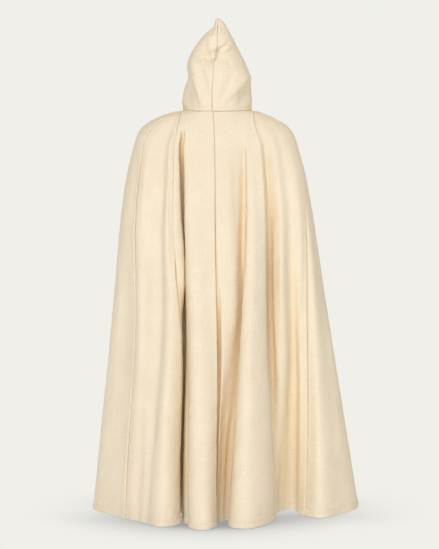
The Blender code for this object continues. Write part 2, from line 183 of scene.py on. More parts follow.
SEAMS = ("left side seam", "left raglan seam", "centre seam", "right raglan seam", "right side seam")
FRONT_EDGES = ("left front edge", "right front edge")
NODES = ("front_left", "side_left", "back_left", "back_right", "side_right", "front_right")
PANELS = table("node first last", *zip(NODES, (FRONT_EDGES[0], *SEAMS), (*SEAMS, FRONT_EDGES[1])))
print("fold lines:", len(LINES), "seams:", SEAMS)

# %% [markdown]
# ## Curves through a table
#
# Two kinds of curve carry the tables to a surface. Down the cloth, a cubic that never overshoots
# keeps the shoulders from bulging between two sections. Round the cloth, a natural cubic spline
# bends as a strip of cloth does, with its sharpest bends shared out along its length. Two small
# shapes, a soft ridge and a soft step, place every detail later on.

# %% Curves, slopes and the smooth body
def bump(distance, width):
    """A soft ridge: 1 on the line, fading as exp(-(distance / width) squared)."""
    return np.exp(-((distance / width) ** 2))


def fade(value, start, end):
    """0 at start, 1 at end, with no corner at either."""
    t = np.clip((value - start) / (end - start), 0, 1)
    return t * t * (3 - 2 * t)


def smooth_rows(rows, at):
    """Cubic curves through a table's columns, read at `at`. The slope at a row is the weighted
    harmonic mean of the slopes beside it, or nothing where the values turn back."""
    values = np.array(rows, float)
    x, y = values[:, 0], values[:, 1:]
    step = np.diff(x)[:, None]
    slope = np.diff(y, axis=0) / step
    turning = slope[:-1] * slope[1:] <= 0
    steepness = np.maximum(np.abs(slope), 1e-9)
    before = 2 * step[1:] + step[:-1]
    after = step[1:] + 2 * step[:-1]
    mean = (before + after) / (before / steepness[:-1] + after / steepness[1:]) * np.sign(slope[1:])
    tangent = np.vstack([slope[:1], np.where(turning, 0.0, mean), slope[-1:]])
    i = np.clip(np.searchsorted(x, at) - 1, 0, len(x) - 2)
    h = step[i]
    t = (np.asarray(at, float) - x[i])[:, None] / h
    return (
        (1 + 2 * t) * (1 - t) ** 2 * y[i]
        + t * (1 - t) ** 2 * h * tangent[i]
        + t * t * (3 - 2 * t) * y[i + 1]
        + t * t * (t - 1) * h * tangent[i + 1]
    )


def body_form(angle, along):
    """Smooth body: x is the half width times sin(angle), y the depth times cos(angle), and the
    drop goes from the side's to the front's or back's with cos(angle) squared."""
    columns = smooth_rows(SECTIONS, along).T[:, :, None] * MM
    back, back_drop, left, right, side_drop, front, front_drop = columns
    power = np.interp(along, *np.array(SQUARENESS).T)[:, None]
    sine = np.sin(np.radians(angle))
    cosine = np.cos(np.radians(angle))
    x = np.where(sine > 0, left, right) * np.sign(sine) * np.abs(sine) ** power
    y = np.where(cosine > 0, back, front) * np.sign(cosine) * np.abs(cosine) ** power
    end_drop = np.where(cosine > 0, back_drop, front_drop)
    z = -(side_drop + (end_drop - side_drop) * cosine**2)
    return np.stack([x, y, z], axis=-1)


def fold_lines(along):
    """Every fold line at each distance along: the smooth body, moved towards the line's place at
    the hem by ((along - start) / (LENGTH - start)) to the power of its growth."""
    neck, shoulder, start, growth, hem_x, hem_y = np.array([line[1:7] for line in LINES], float).T
    settle = np.exp(-along[:, None] / SWING)
    points = body_form(shoulder + (neck - shoulder) * settle, along)
    at_hem = body_form(shoulder[None, :], np.array([float(LENGTH)]))[0, :, :2]
    shift = np.stack([hem_x, hem_y], axis=-1) * MM - at_hem
    share = np.clip((along[:, None] - start) / (LENGTH - start), 0, 1) ** growth
    points[..., :2] += share[..., None] * shift
    for i, line in enumerate(LINES):
        for at, reach, x, y in line.sways:
            near = bump(along - at, reach) * (1 - settle[:, 0])
            points[:, i, :2] += near[:, None] * (x * MM, y * MM)
    return points


def curve_through(points, interval, part):
    """Natural cubic spline through points (rows, k, 3), read at `part` of each `interval`: its
    bends solve one set of linear equations a row, and its parameter is the chord length."""
    gaps = np.linalg.norm(np.diff(points, axis=1), axis=2)
    count = points.shape[1]
    matrix = np.zeros((len(points), count, count))
    right_side = np.zeros_like(points)
    i = np.arange(1, count - 1)
    matrix[:, i, i - 1] = gaps[:, :-1]
    matrix[:, i, i] = 2 * (gaps[:, :-1] + gaps[:, 1:])
    matrix[:, i, i + 1] = gaps[:, 1:]
    matrix[:, 0, 0] = 1
    matrix[:, -1, -1] = 1
    right_side[:, 1:-1] = 6 * np.diff(np.diff(points, axis=1) / gaps[..., None], axis=1)
    bend = np.linalg.solve(matrix, right_side)
    b = np.asarray(part)[None, :, None]
    a = 1 - b
    gap = gaps[:, interval, None]
    return (
        a * points[:, interval]
        + b * points[:, interval + 1]
        + ((a**3 - a) * bend[:, interval] + (b**3 - b) * bend[:, interval + 1]) * gap * gap / 6
    )


def unit(vectors):
    """Vectors of length 1 in the same directions."""
    return vectors / np.linalg.norm(vectors, axis=-1, keepdims=True)


def outward(grid):
    """Unit normals of a grid whose rows go down the cloth and columns to the wearer's right."""
    across = np.gradient(grid, axis=1)
    down = np.gradient(grid, axis=0)
    return unit(np.cross(down, across))


# %% [markdown]
# ## Where the fine grid needs its lines
#
# Seven millimetres between columns is fine for a fold and far too coarse for a seam, so columns
# crowd together beside each seam and free edge, and rows beside the neck and the hem. The grid
# is one whole sheet round the body: the panels are cut out of it afterwards, so they fit.

# %% Columns and rows of the fine grid
COLUMN_STEP = 7.0
BESIDE_SEAM = np.array([1.0, 2.2, 3.8, 6.0, 9.0, 12.5])
HEM_BAND = 19.0
FRONT_BAND = 22.0


def fine_columns():
    """The interval and part of every column, and the column that stands on each line."""
    hem = np.array([(line.hem_x, line.hem_y) for line in LINES], float)
    chords = np.linalg.norm(np.diff(hem, axis=0), axis=1)
    crowded = [LINE_NAMES.index(name) for name in SEAMS] + [0, len(LINES) - 1]
    intervals, parts = [], []
    for i, chord in enumerate(chords):
        places = np.linspace(0, 1, int(np.ceil(chord / COLUMN_STEP)) + 1)[:-1]
        near = BESIDE_SEAM[BESIDE_SEAM < chord / 2] / chord
        room = 0.4 * COLUMN_STEP / chord
        if i in crowded:
            places = np.concatenate([[0], near, places[places > near[-1] + room]])
        if i + 1 in crowded:
            places = np.concatenate([places[places < 1 - near[-1] - room], 1 - near[::-1]])
        intervals.append(np.full(len(places), i))
        parts.append(places)
    first = np.concatenate([[0], np.cumsum([len(p) for p in parts])])
    interval = np.append(np.concatenate(intervals), len(chords) - 1)
    return interval, np.append(np.concatenate(parts), 1.0), dict(zip(LINE_NAMES, first))


interval, part, column_of = fine_columns()
along = np.concatenate(
    [
        [0, 0.8, 1.8, 3.2, 5, 7.5],
        np.arange(10, 60, 4.0),
        np.arange(60, LENGTH - 62, 8.0),
        np.arange(LENGTH - 60, LENGTH - 30, 4.0),
        np.arange(LENGTH - 29, LENGTH - 1, 1.6),
        [LENGTH - 0.6, LENGTH],
    ]
)
smooth_body = curve_through(fold_lines(along), interval, part)
print("body grid:", smooth_body.shape[:2])

# %% [markdown]
# ## Distances on the cloth
#
# A seam, a stitch and a thread all have a width in millimetres on the cloth, and the grid's
# columns spread as they go down. So the distance across is summed up row by row, and each detail
# asks how far a point is from its line in real millimetres.

# %% Measure the cloth
def run_across(grid):
    """Distance in mm from the first column, along each row."""
    step = np.linalg.norm(np.diff(grid, axis=1), axis=2) / MM
    return np.concatenate([np.zeros((len(grid), 1)), np.cumsum(step, axis=1)], axis=1)


across = run_across(smooth_body)
down = np.broadcast_to(along[:, None], across.shape)


def from_line(name):
    """Signed distance in mm across the cloth from a fold line."""
    return across - across[:, [column_of[name]]]


hem_distance = LENGTH - down
print("the hem is", round(float(across[-1, -1]) * MM, 2), "m round")

# %% [markdown]
# ## Creases
#
# Thick cloth is never a perfect curve. Each row below is one soft trough (-) or ridge (+) as it
# shows from behind or from in front, from one point to another, in mm: x to the wearer's left, z
# up from the neck seam, the width over which it fades and its depth. They're uneven on purpose.
# The hidden front gets a few of the same kind. A tuck is a crease that keeps to a fold line, and
# so bends with it, such as the cloth that dives beside a lobe.

# %% Creases of the body
CREASE = "x1 z1 x2 z2 width depth"
BODY_BEHIND = table(
    CREASE,
    (-96, -18, -14, -160, 16, -2.2),
    (-80, -14, -40, -150, 12, 1.6),
    (60, -12, 92, -120, 12, 1.8),
    (-92, -130, -87, -580, 7, -10.0),
    (-72, -130, -70, -520, 7, 3.5),
    (190, -190, 194, -420, 12, -5.0),
    (30, -60, 46, -330, 13, -1.8),
    (-36, -210, -34, -560, 12, 1.6),
    (84, -240, 74, -760, 11, -1.6),
    (60, -520, 58, -1180, 13, 1.8),
    (256, -150, 282, -420, 14, -2.4),
    (244, -120, 266, -420, 11, 4.5),
    (282, -150, 304, -420, 12, -5.0),
    (262, -620, 214, -1120, 20, -3.6),
    (236, -1000, 214, -1180, 14, -3.0),
    (300, -420, 330, -900, 16, -2.2),
    (344, -560, 372, -1150, 16, 2.0),
    (-214, -90, -238, -330, 13, -2.2),
    (-150, -60, -172, -240, 12, -2.0),
    (-262, -250, -268, -620, 12, 2.2),
    (-352, -420, -398, -900, 16, -2.2),
    (-392, -640, -436, -1240, 15, 2.0),
    (-110, -420, -128, -1000, 12, -1.8),
    (-88, -900, -92, -1340, 14, 1.6),
    (-218, -1000, -256, -1018, 9, -1.6),
    (-214, -1030, -244, -1052, 8, 1.3),
)
BODY_IN_FRONT = table(
    CREASE,
    (90, -110, 120, -330, 14, -2.4),
    (-96, -116, -136, -360, 14, -2.4),
    (176, -90, 236, -300, 14, 2.2),
    (-168, -84, -226, -320, 15, 2.2),
    (60, -420, 84, -900, 14, 1.8),
    (-70, -380, -96, -980, 13, 1.8),
    (250, -420, 300, -1000, 16, -2.2),
    (-262, -460, -330, -1080, 16, -2.2),
)


TUCKS = table(
    "line aside start full width depth",
    ("left side seam", 3, 200, 420, 4, -3.5),
    ("left panel crest", 12, 300, 700, 26, -8.0),
    ("left panel valley", -6, 300, 600, 18, -5.0),
    ("deep valley right", -4, 120, 280, 9, -9.0),
    ("left back edge", -6, 850, 1150, 16, -8.0),
    ("centre seam", 3, 350, 700, 3.5, -6.0),
    ("right recess", 0, 800, 1100, 13, 6.0),
    ("back valley left", -4, 450, 700, 14, 6.0),
    ("back valley left", -2, 1000, 1250, 16, -14.0),
    ("right raglan seam", 9, 420, 750, 7, -8.0),
    ("right valley", 4, 350, 650, 9, -12.0),
    ("right valley", 26, 350, 600, 12, 4.0),
    ("right panel ridge", 4, 750, 1100, 30, 8.0),
    ("right panel valley", 0, 700, 1100, 26, -12.0),
)


def crease_height(points, behind, in_front):
    """Sum over the creases of depth times a soft ridge of the distance to the crease, in the view
    from behind or in front, thinning to nothing at both of its ends; in mm."""
    total = np.zeros(points.shape[:-1])
    x, y, z = np.moveaxis(points / MM, -1, 0)
    for seen, creases in ((y > 0, behind), (y < 0, in_front)):
        for crease in creases:
            run = np.array([crease.x2 - crease.x1, crease.z2 - crease.z1], float)
            t = ((x - crease.x1) * run[0] + (z - crease.z1) * run[1]) / (run @ run)
            inside = np.clip(t, 0, 1)
            distance = np.hypot(x - crease.x1 - inside * run[0], z - crease.z1 - inside * run[1])
            thinning = np.sqrt(4 * inside * (1 - inside))
            total += crease.depth * bump(distance, crease.width) * thinning * seen
    return total


def rumple(u, v, wave, seed, waves=14):
    """Even, gentle unevenness of a surface: a mean of sine waves of about one length, each with
    its own direction and phase, between -1 and 1."""
    draw = np.random.default_rng(seed)
    total = np.zeros(np.broadcast(u, v).shape)
    for _ in range(waves):
        turn = draw.uniform(0, 2 * np.pi)
        size = 2 * np.pi / (wave * draw.uniform(0.7, 1.5))
        total += np.sin(size * (u * np.cos(turn) + v * np.sin(turn)) + draw.uniform(0, 2 * np.pi))
    return total / np.sqrt(waves * 2)


def tuck_height():
    """Troughs and ridges that keep a distance `aside` mm from a fold line, which a crease from
    point to point can't do: depth times a soft ridge, coming in from start to full."""
    total = np.zeros(across.shape)
    for tuck in TUCKS:
        ridge = bump(from_line(tuck.line) - tuck.aside, tuck.width)
        total += tuck.depth * ridge * fade(down, tuck.start, tuck.full)
    return total


creases = crease_height(smooth_body, BODY_BEHIND, BODY_IN_FRONT) + tuck_height()
print("creases reach from", round(float(creases.min()), 1), "to", round(float(creases.max()), 1), "mm")

# %% [markdown]
# ## Seams, hem and edges
#
# A pressed seam is a narrow groove between two slightly raised strips, where the allowances lie
# behind the cloth, and its stitches pull it into small uneven puckers. The hem is the cloth
# turned up and sewn down: twice as thick below the stitch line, pinched at it, and roped into
# slanting puckers, because the turned edge of a flared hem is longer than where it is sewn. A
# seam shows more where its fold turns it to the light, so each has a strength high up and one low
# down. Beside the centre seam the cloth dives into a slot that is narrower than it's deep. Moving
# points along their normals would cross its walls, so they move straight in there.

# %% Relief of the seams and the hem
SEAM_LOOKS = table(
    "line high low",
    ("left side seam", 0.7, 1.7),
    ("left raglan seam", 0.6, 0.9),
    ("centre seam", 0.5, 1.0),
    ("right raglan seam", 0.5, 1.0),
    ("right side seam", 1.0, 0.6),
)
BODY_RUMPLES = ((0.7, 70, 3), (0.35, 28, 4))
SHOULDER_TO_BACK = (120, 480)
SEAM_GROOVE = 4.4
SEAM_WIDTH = 1.9
ALLOWANCE_ENDS = (9, 15)
ROPE_SPACING = 13.5
ROPE_SLANT = 0.55
NECK_GROOVE = 3.0
NECK_GROOVE_WIDTH = 4.5
SLOT_DEPTH = 38.0
SLOT_ASIDE = 6.5
SLOT_WIDTH = 4.5
SLOT_OPENS = (560, 900)
SLOT_CLOSES = (1290, 1440)


def seam_strength(look):
    """How strongly a seam shows down the cloth: from `high` on the shoulders to `low` below."""
    return look.high + (look.low - look.high) * fade(down, *SHOULDER_TO_BACK)


def seam_height(distance, length, seed, strength=0.5):
    """Groove, pressed allowances and puckers of one seam, in mm."""
    near = np.abs(distance)
    groove = -SEAM_GROOVE * strength * bump(near, SEAM_WIDTH)
    allowance = (0.7 - 0.4 * np.sign(distance)) * (1 - fade(near, *ALLOWANCE_ENDS)) * fade(near, 1, 4)
    pucker = 0.7 * rumple(length, distance * 0.3, 26, seed) * bump(near, 11)
    return groove + allowance + pucker


def band_height(distance, length, width, seed, rope=1.0):
    """Turned and sewn edge, in mm: distance is from the edge, length along it. Within the band
    the ropes slant, outside it short puckers die away."""
    inside = 1 - fade(distance, width - 1.2, width + 0.8)
    pinch = -1.5 * bump(distance - width, 2.0)
    uneven = 0.6 + 0.5 * rumple(length, 0, 90, seed)
    turns = 2 * np.pi * (length + ROPE_SLANT * distance) / ROPE_SPACING
    slant = np.sin(turns + 1.6 * rumple(length, 0, 40, seed + 1))
    ropes = rope * 1.5 * uneven * slant * inside * fade(distance, 0, 4)
    short = rumple(length, distance * 0.2, 19, seed + 2)
    puckers = rope * 1.0 * short * bump(distance - width, 16) * (1 - inside)
    return 1.3 * inside + pinch + ropes + puckers


height = creases.copy()
for rise, wave, seed in BODY_RUMPLES:
    height += rise * rumple(across, down, wave, seed)
for number, look in enumerate(SEAM_LOOKS):
    height += seam_height(from_line(look.line), down, 10 + number, seam_strength(look))
height += band_height(hem_distance, across, HEM_BAND, 20) * fade(down, LENGTH - 80, LENGTH - 50)
for number, edge in enumerate(FRONT_EDGES):
    distance = np.abs(from_line(edge))
    edge_height = band_height(distance, down, FRONT_BAND, 30 + number, rope=0.35)
    height += edge_height * (distance < 60) * fade(down, 0, 40)
height += 0.7 * rumple(across, 0, 18, 40) * np.exp(-down / 22)
height -= NECK_GROOVE * bump(down, NECK_GROOVE_WIDTH)

slot = bump(from_line("centre seam") - SLOT_ASIDE, SLOT_WIDTH)
slot = slot * fade(down, *SLOT_OPENS) * (1 - fade(down, *SLOT_CLOSES))

body_grid = smooth_body + outward(smooth_body) * height[..., None] * MM
body_grid[..., 1] -= SLOT_DEPTH * slot * MM
body_normals = outward(body_grid)
print("relief reaches from", round(float(height.min()), 1), "to", round(float(height.max()), 1), "mm")

# %% [markdown]
# ## From a grid to a piece of cloth
#
# Cloth has two faces and an edge. The inner face is the outer one moved in along its normals by
# the thickness, and one more row of points round the rim, pushed out a little, rounds the edge
# so that it catches light as a fold does. The UV map is in metres on the cloth, with the warp
# running down the middle of each panel, so the weave keeps its scale everywhere.

# %% Make a wall of cloth
CLOTH = 1.7


def cloth_wall(outer, inner, rounding):
    """Points and four-sided faces of a closed wall, and the grid points on its rim. rounding is
    how far the rim is pushed out, in metres, on the top, right, bottom and left edges."""
    rows, columns = outer.shape[:2]
    number = np.arange(rows * columns).reshape(rows, columns)
    back = rows * columns
    skin = np.stack([number[:-1, :-1], number[1:, :-1], number[1:, 1:], number[:-1, 1:]], -1)
    skin = skin.reshape(-1, 4)
    sides = (number[0, :0:-1], number[:-1, 0], number[-1, :-1], number[:0:-1, -1])
    rim = np.concatenate(sides)
    flat_outer, flat_inner = outer.reshape(-1, 3), inner.reshape(-1, 3)
    inward = (number[1, :0:-1], number[:-1, 1], number[-2, :-1], number[:0:-1, -2])
    away = unit(flat_outer[rim] - flat_outer[np.concatenate(inward)])
    top, right, bottom, left = rounding
    amount = np.concatenate([np.full(len(s), r) for s, r in zip(sides, (top, left, bottom, right))])
    middle = (flat_outer[rim] + flat_inner[rim]) / 2 + away * amount[:, None]
    ring = 2 * back + np.arange(len(rim))
    ahead, ring_ahead = np.roll(rim, -1), np.roll(ring, -1)
    outer_edge = np.stack([rim, ring, ring_ahead, ahead], -1)
    inner_edge = np.stack([ring, rim + back, ahead + back, ring_ahead], -1)
    points = np.concatenate([flat_outer, flat_inner, middle])
    return points, np.concatenate([skin, skin[:, ::-1] + back, outer_edge, inner_edge]), rim


def new_mesh(name, points, faces, uv=None, shade=None):
    """An object at the origin from its points and faces; uv is per point, and so is shade, the
    painted shade of the seam grooves, which is 1 in the bottom of a seam."""
    mesh = bpy.data.meshes.new(name)
    mesh.from_pydata(points.tolist(), [], faces)
    if uv is not None:
        corner_points = np.empty(len(mesh.loops), int)
        mesh.loops.foreach_get("vertex_index", corner_points)
        layer = mesh.uv_layers.new(name="cloth")
        layer.data.foreach_set("uv", uv[corner_points].astype(np.float32).ravel())
    # The 'seam' attribute carries the painted shade of the seam grooves.
    if shade is not None:
        mesh.attributes.new("seam", "FLOAT", "POINT").data.foreach_set("value", shade.astype(np.float32))
    mesh.shade_smooth()
    mesh.update()
    piece = bpy.data.objects.new(name, mesh)
    bpy.context.scene.collection.objects.link(piece)
    return piece


def inner_face(outer, normals, thickness):
    """The grid moved in by `thickness` mm, which may change over it."""
    return outer - normals * thickness[..., None] * MM


def cloth_piece(name, outer, inner, uv, rounding, shade=0.0):
    """A piece of cloth between two grids; its uv is in mm."""
    points, faces, rim = cloth_wall(outer, inner, rounding)
    flat_uv = uv.reshape(-1, 2) * MM
    flat_shade = np.broadcast_to(shade, outer.shape[:2]).ravel()
    uv, shade = (np.concatenate([flat, flat, flat[rim]]) for flat in (flat_uv, flat_shade))
    return new_mesh(name, points, faces.tolist(), uv, shade)


# %% [markdown]
# ## The cloth's material
#
# The real cloth is a heavy, brushed plain weave in its natural cream. Three things make it look
# so: a faint mottle and thicker threads here and there in its colour, the weave as a very low
# bump, and a nap that catches light at grazing angles, which is what sheen is for. The mottle
# and the weave are node groups, so the sewing thread and the wood can use them at other scales.
# Light that goes from wall to wall in a fold of cream cloth turns warmer each time, so a warm
# shade is painted into the colour, deeper the more shut in a point is, less so near the pale floor.
# The seam grooves get a painted shade too.

# %% Node groups for the weave and the mottle
def node_group(name, inputs, outputs):
    """An empty shader node group with float or vector sockets, and its two end nodes."""
    group = bpy.data.node_groups.new(name, "ShaderNodeTree")
    for label, kind, value in inputs:
        socket = group.interface.new_socket(label, in_out="INPUT", socket_type=kind)
        if value is not None:
            socket.default_value = value
    for label in outputs:
        group.interface.new_socket(label, in_out="OUTPUT", socket_type="NodeSocketFloat")
    start = group.nodes.new("NodeGroupInput")
    end = group.nodes.new("NodeGroupOutput")
    return group, start, end


def add_node(tree, kind, links=(), **settings):
    """A node with its settings made, and its inputs linked or set: links is (input, source)."""
    node = tree.nodes.new(kind)
    for key, value in settings.items():
        setattr(node, key, value)
    for socket, source in links:
        if hasattr(source, "is_output"):
            tree.links.new(source, node.inputs[socket])
        else:
            node.inputs[socket].default_value = source
    return node


def maths(tree, operation, first, second=0.0):
    """The sum, product or other function of two numbers, one of which may be left out."""
    return add_node(tree, "ShaderNodeMath", ((0, first), (1, second)), operation=operation).outputs[0]


def noise(tree, vector, scale, detail):
    """Soft cloudy noise between 0 and 1."""
    links = (("Vector", vector), ("Scale", scale), ("Detail", detail))
    return add_node(tree, "ShaderNodeTexNoise", links).outputs["Fac"]


def make_weave_group():
    """Plain weave: over and under by turns. Each thread is a rounded bar, and the sign of
    sin(u) sin(v) says which of the two crossing threads lies on top."""
    inputs = (("Vector", "NodeSocketVector", None), ("Pitch", "NodeSocketFloat", 0.001))
    group, start, end = node_group("plain_weave", inputs, ("Height",))
    turns = maths(group, "DIVIDE", np.pi, start.outputs["Pitch"])
    drift = maths(group, "MULTIPLY", noise(group, start.outputs["Vector"], 60.0, 1.0), 3.0)
    parts = add_node(group, "ShaderNodeSeparateXYZ", (("Vector", start.outputs["Vector"]),))
    waves = []
    for axis in ("X", "Y"):
        turned = maths(group, "MULTIPLY", parts.outputs[axis], turns)
        waves.append(maths(group, "SINE", maths(group, "ADD", turned, drift)))
    over = maths(group, "ADD", maths(group, "MULTIPLY", maths(group, "MULTIPLY", *waves), 2.0), 0.5)
    warp, weft = (maths(group, "ABSOLUTE", wave) for wave in waves)
    links = ((0, over), (2, warp), (3, weft))
    mixed = add_node(group, "ShaderNodeMix", links, data_type="FLOAT", clamp_factor=True)
    group.links.new(mixed.outputs[0], end.inputs["Height"])
    return group


def make_mottle_group():
    """Unevenness of dye and fibre: a broad and a fine noise and threads that run a long way in
    one direction, each between 0 and 1."""
    vector = ("Vector", "NodeSocketVector", None)
    scales = (("Broad", "NodeSocketFloat", 9.0), ("Fine", "NodeSocketFloat", 160.0))
    group, start, end = node_group("soft_mottle", (vector, *scales), ("Mottle", "Slubs"))
    place, broad, fine = (start.outputs[label] for label in ("Vector", "Broad", "Fine"))
    clouds = (noise(group, place, broad, 3.0), noise(group, place, fine, 4.0))
    streaks = []
    for stretch in ((1.0, 0.03, 1.0), (0.03, 1.0, 1.0)):
        drawn = add_node(group, "ShaderNodeMapping", (("Vector", place), ("Scale", stretch)))
        streaks.append(noise(group, drawn.outputs[0], 420.0, 2.0))
    for label, pair in (("Mottle", clouds), ("Slubs", streaks)):
        half = maths(group, "MULTIPLY", maths(group, "ADD", *pair), 0.5)
        group.links.new(half, end.inputs[label])
    return group


weave_group = make_weave_group()
mottle_group = make_mottle_group()
print("node groups:", weave_group.name, mottle_group.name)

# %% The cloth, the thread and the button's wood
def new_material(name, roughness, sheen=0.0):
    material = bpy.data.materials.new(name)
    material.use_nodes = True
    shader = material.node_tree.nodes["Principled BSDF"]
    shader.inputs["Roughness"].default_value = roughness
    shader.inputs["Sheen Weight"].default_value = sheen
    shader.inputs["Sheen Roughness"].default_value = 0.6
    return material, material.node_tree, shader


def use_mottle(tree, place, broad, fine):
    links = (("Vector", place), ("Broad", broad), ("Fine", fine))
    return add_node(tree, "ShaderNodeGroup", links, node_tree=mottle_group)


def coordinate(tree, kind="Object"):
    return add_node(tree, "ShaderNodeTexCoord").outputs[kind]


def axis_of(tree, place, axis):
    """One of the X, Y and Z of a place."""
    return add_node(tree, "ShaderNodeSeparateXYZ", ((0, place),)).outputs[axis]


def between(tree, value, start, end, low=0.0, high=1.0, curve="SMOOTHSTEP"):
    """From low at start to high at end, and level beyond."""
    links = ((0, value), (1, start), (2, end), (3, low), (4, high))
    return add_node(tree, "ShaderNodeMapRange", links, interpolation_type=curve).outputs[0]


def open_share(tree, reach, samples):
    """The share of rays that leave a point and meet nothing within reach."""
    links = (("Distance", reach),)
    return add_node(tree, "ShaderNodeAmbientOcclusion", links, samples=samples).outputs["AO"]


def mix(tree, share, first, second, blend="MIX"):
    """The first colour with a share of the second mixed or multiplied in."""
    links = ((0, share), (6, first), (7, second))
    return add_node(tree, "ShaderNodeMix", links, data_type="RGBA", blend_type=blend).outputs[2]


def add_bump(tree, shader, height, strength, distance):
    links = (("Height", height), ("Strength", strength), ("Distance", distance))
    tree.links.new(add_node(tree, "ShaderNodeBump", links).outputs[0], shader.inputs["Normal"])


def colour_by(tree, value, stops):
    """A colour ramp: stops are (position, colour)."""
    ramp = add_node(tree, "ShaderNodeValToRGB", (("Fac", value),))
    elements = ramp.color_ramp.elements
    elements[0].position, elements[0].color = stops[0][0], (*stops[0][1], 1)
    elements[1].position, elements[1].color = stops[-1][0], (*stops[-1][1], 1)
    for position, colour in stops[1:-1]:
        elements.new(position).color = (*colour, 1)
    return ramp.outputs["Color"]


WHITE = (1, 1, 1)
SEAM_PAINTED_SHADE = (0.82, 0.76, 0.67)
FOLD_PAINTED_SHADE = (0.95, 0.885, 0.775)
DEEP_PAINTED_SHADE = (1.04, 0.92, 0.76)
FOLD_REACH = 0.14
NEAR_FLOOR = (-1.42, -1.26)
THREAD_PITCH = 0.0011
CREAMS = ((0.32, (0.795, 0.698, 0.548)), (0.5, (0.828, 0.734, 0.584)), (0.68, (0.856, 0.766, 0.620)))
SLUBS = ((0.36, (0.93, 0.915, 0.885)), (0.5, WHITE), (0.66, WHITE))
THREADS = ((0.3, (0.78, 0.66, 0.47)), (0.7, (0.88, 0.77, 0.58)))
BROWNS = ((0.32, (0.10, 0.052, 0.026)), (0.5, (0.19, 0.105, 0.055)), (0.68, (0.27, 0.16, 0.085)))


def make_cloth():
    """Cream cloth with threads 1.1 mm apart."""
    material, tree, shader = new_material("brushed_cream_cloth", 0.9, sheen=0.12)
    shader.inputs["Sheen Tint"].default_value = (1.0, 0.93, 0.82, 1)
    shader.inputs["Specular IOR Level"].default_value = 0.2
    place = add_node(tree, "ShaderNodeUVMap", uv_map="cloth").outputs["UV"]
    mottle = use_mottle(tree, place, 7.0, 140.0)
    links = (("Vector", place), ("Pitch", THREAD_PITCH))
    weave = add_node(tree, "ShaderNodeGroup", links, node_tree=weave_group)
    ground = colour_by(tree, mottle.outputs["Mottle"], CREAMS)
    slubs = colour_by(tree, mottle.outputs["Slubs"], SLUBS)
    # Painted shade: the colour is darkened in the seam grooves by the 'seam' attribute.
    seam = add_node(tree, "ShaderNodeAttribute", attribute_name="seam").outputs["Fac"]
    dark = colour_by(tree, seam, ((0.0, WHITE), (1.0, SEAM_PAINTED_SHADE)))
    sewn = mix(tree, 1.0, mix(tree, 1.0, ground, slubs, "MULTIPLY"), dark, "MULTIPLY")
    # Painted shade: darker and warmer where a point is shut in by its fold, less so near the floor.
    stops = ((0.03, DEEP_PAINTED_SHADE), (0.25, FOLD_PAINTED_SHADE), (0.92, WHITE))
    painted_fold_shade = colour_by(tree, open_share(tree, FOLD_REACH, 8), stops)
    above_floor = between(tree, axis_of(tree, coordinate(tree), "Z"), *NEAR_FLOOR, curve="LINEAR")
    with_painted_fold_shade = mix(tree, above_floor, sewn, painted_fold_shade, "MULTIPLY")
    tree.links.new(with_painted_fold_shade, shader.inputs["Base Color"])
    threads = maths(tree, "MULTIPLY", weave.outputs["Height"], 0.5)
    relief = maths(tree, "ADD", threads, maths(tree, "MULTIPLY", mottle.outputs["Slubs"], 0.9))
    add_bump(tree, shader, relief, 0.35, 0.0004)
    return material


def make_thread():
    """Cotton thread a shade lighter than the cloth, with a fine unevenness."""
    material, tree, shader = new_material("cotton_thread", 0.7, sheen=0.1)
    mottle = use_mottle(tree, coordinate(tree), 60.0, 900.0)
    shade = colour_by(tree, mottle.outputs["Mottle"], THREADS)
    tree.links.new(shade, shader.inputs["Base Color"])
    return material


def make_wood():
    """Brown turned wood: the mottle's long threads are its grain."""
    material, tree, shader = new_material("turned_wood", 0.42)
    mottle = use_mottle(tree, coordinate(tree), 40.0, 700.0)
    shade = colour_by(tree, mottle.outputs["Slubs"], BROWNS)
    tree.links.new(shade, shader.inputs["Base Color"])
    add_bump(tree, shader, mottle.outputs["Slubs"], 0.3, 0.0003)
    return material


cloth_material = make_cloth()
thread_material = make_thread()
wood_material = make_wood()
print("materials:", cloth_material.name, thread_material.name, wood_material.name)

# %% [markdown]
# ## The six body panels
#
# Each panel is a range of columns of the one grid. Its wall is nearly twice as thick where the
# hem and the front edges are turned, and only those free edges are rounded: at a seam, the two
# panels butt together in the bottom of the groove, as pressed cloth does. The groove itself gets
# a painted shade in its colour, as strong as the seam is, because a bump of this size can't hold
# its own shadow.

# %% Cut the panels out of the grid
SEAM_CLEARANCE = 0.15
SHADE_ASIDE = 0.6
SHADE_WIDTH = 1.7
EDGE_ROUND = 0.0006
BODY_TURNING = 0.9


def finish(piece, material, node=None):
    """What every piece gets: its material, its body, and the solid it stands for."""
    piece.data.materials.append(material)
    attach(piece, "root")
    if node:
        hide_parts(node)


def keep_sheet(node, piece, cut):
    """Remember a sheet and the width, length and area of its flat cut, and print them."""
    panels[node], cuts[node] = piece, cut
    print(node, len(piece.data.polygons), "faces, cut", [round(v, 2) for v in cut])


def cut_size(grid, length):
    """Width, length and area in metres of the flat cut of a strip of the grid."""
    rows = run_across(grid)[:, -1] * MM
    spans = np.diff(length) * MM
    area = float(np.sum((rows[1:] + rows[:-1]) / 2 * spans))
    return float(rows.max()), float(length[-1] - length[0]) * MM, area


def in_band(distance, width):
    """1 within `width` mm of an edge, 0 beyond."""
    return 1 - fade(distance, width - 1, width + 1)


def part_seam(grid, column, beside):
    """Move a column towards its neighbour by the clearance of a seam."""
    grid[:, column] += unit(grid[:, beside] - grid[:, column]) * SEAM_CLEARANCE * MM


